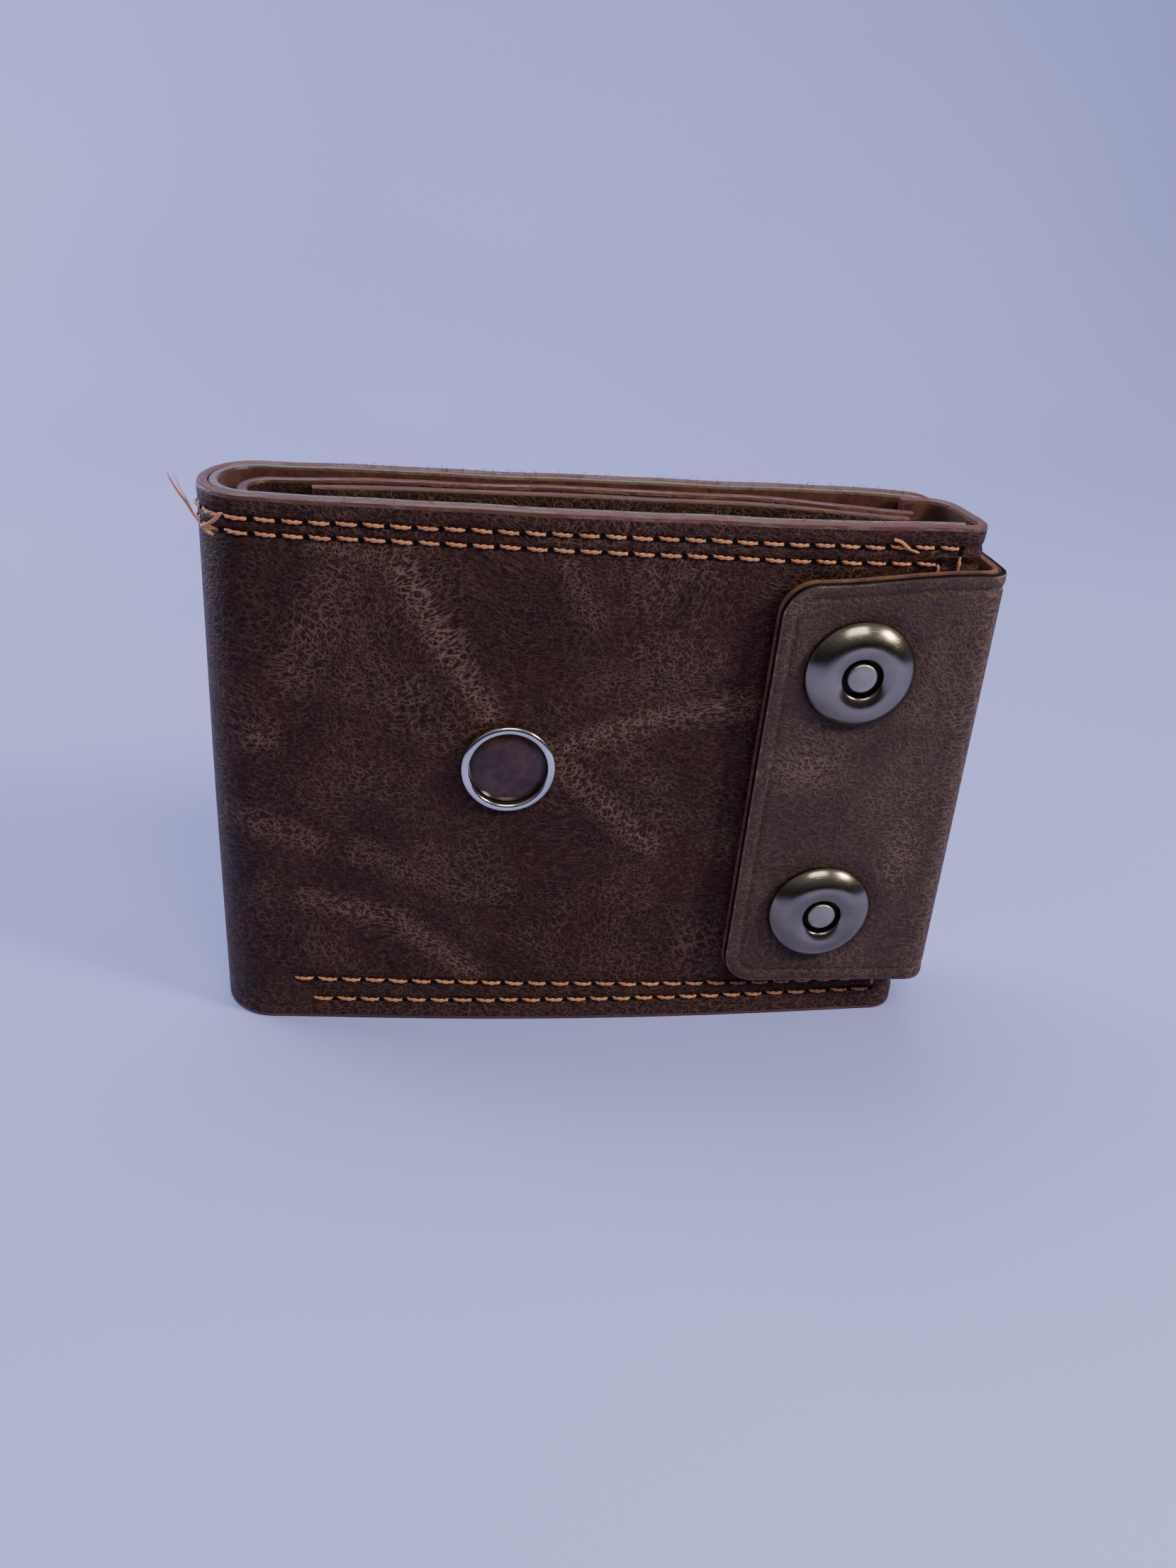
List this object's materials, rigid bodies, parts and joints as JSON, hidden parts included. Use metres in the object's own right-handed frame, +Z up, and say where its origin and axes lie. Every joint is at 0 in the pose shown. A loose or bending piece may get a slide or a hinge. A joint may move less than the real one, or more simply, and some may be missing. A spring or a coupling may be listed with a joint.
{
  "type": "bifold wallet",
  "caption": "Closed bifold leather wallet standing on its long edge, with a wrap-round strap held by ring snaps.",
  "frame": {"origin": "centre of the bounding box at its base, on the surface that the closed wallet stands on", "axes": "+X from the fold towards the open end, +Y from the snapped front face towards the back, +Z up along the wallet's height"},
  "size_m": [0.1174, 0.0268, 0.088],
  "materials": {
    "cover_leather": "waxed pull-up leather, crinkled, satin",
    "suede_lining": "raw suede",
    "panel_leather": "smooth leather with painted edges",
    "strap_leather": "waxed pull-up leather, creased border",
    "strap_lining": "raw split leather",
    "thread": "twisted waxed thread",
    "snap_nickel": "polished dark nickel plate",
    "rivet_zinc": "rough zinc",
    "badge_chrome": "polished chrome plate",
    "badge_enamel": "dark brown enamel on a domed disc"
  },
  "bodies": {
    "back_half": {"card_slot_back_1": "panel_leather", "card_slot_back_2": "panel_leather", "card_slot_back_3": "panel_leather", "cover_back": "cover_leather", "lining_back": "suede_lining", "note_panel_back": "panel_leather", "stitching_back_bottom": "thread", "stitching_back_top": "thread", "stitching_tail": "thread", "strap_tail_leather": "strap_leather", "strap_tail_lining": "strap_lining"},
    "spine_1": {"cover_fold_1": "cover_leather", "lining_fold_1": "suede_lining", "note_panel_fold_1": "panel_leather", "stitching_fold_1": "thread"},
    "spine_2": {"cover_fold_2": "cover_leather", "lining_fold_2": "suede_lining", "note_panel_fold_2": "panel_leather", "stitching_fold_2": "thread"},
    "front_half": {"badge_disc": "badge_enamel", "badge_rim": "badge_chrome", "badge_washer": "rivet_zinc", "card_slot_front_1": "panel_leather", "card_slot_front_2": "panel_leather", "cover_front": "cover_leather", "cover_turned_edge": "cover_leather", "lining_front": "suede_lining", "note_panel_front": "panel_leather", "snap_eyelet_lower": "rivet_zinc", "snap_eyelet_upper": "rivet_zinc", "snap_stud_lower": "snap_nickel", "snap_stud_upper": "snap_nickel", "stitching_front_bottom": "thread", "stitching_front_side": "thread", "stitching_front_top": "thread"},
    "strap_side": {"strap_side_leather": "strap_leather", "strap_side_lining": "strap_lining"},
    "strap_leaf": {"snap_cap_lower": "snap_nickel", "snap_cap_upper": "snap_nickel", "snap_post_lower": "rivet_zinc", "snap_post_upper": "rivet_zinc", "snap_socket_lower": "snap_nickel", "snap_socket_upper": "snap_nickel", "strap_leaf_leather": "strap_leather", "strap_leaf_lining": "strap_lining"}
  },
  "joints": [
    {"name": "fold_1", "type": "hinge", "parent": "back_half", "child": "spine_1", "pos_m": [-0.05329, 0.00932, 0], "axis": [0, 0, -1], "range_deg": [0, 60]},
    {"name": "fold_2", "type": "hinge", "parent": "spine_1", "child": "spine_2", "pos_m": [-0.05733, 0.00232, 0], "axis": [0, 0, -1], "range_deg": [0, 60]},
    {"name": "fold_3", "type": "hinge", "parent": "spine_2", "child": "front_half", "pos_m": [-0.05329, -0.00468, 0], "axis": [0, 0, -1], "range_deg": [0, 60]},
    {"name": "strap_side_bend", "type": "hinge", "parent": "back_half", "child": "strap_side", "pos_m": [0.05763, 0.01202, 0], "axis": [0, 0, 1], "range_deg": [0, 90]},
    {"name": "strap_leaf_bend", "type": "hinge", "parent": "strap_side", "child": "strap_leaf", "pos_m": [0.05763, -0.00967, 0], "axis": [0, 0, 1], "range_deg": [0, 90]}
  ],
  "couplings": [
    {"joint": "fold_2", "follows": "fold_1", "ratio": 1},
    {"joint": "fold_3", "follows": "fold_1", "ratio": 1},
    {"joint": "strap_leaf_bend", "follows": "strap_side_bend", "ratio": 1}
  ]
}
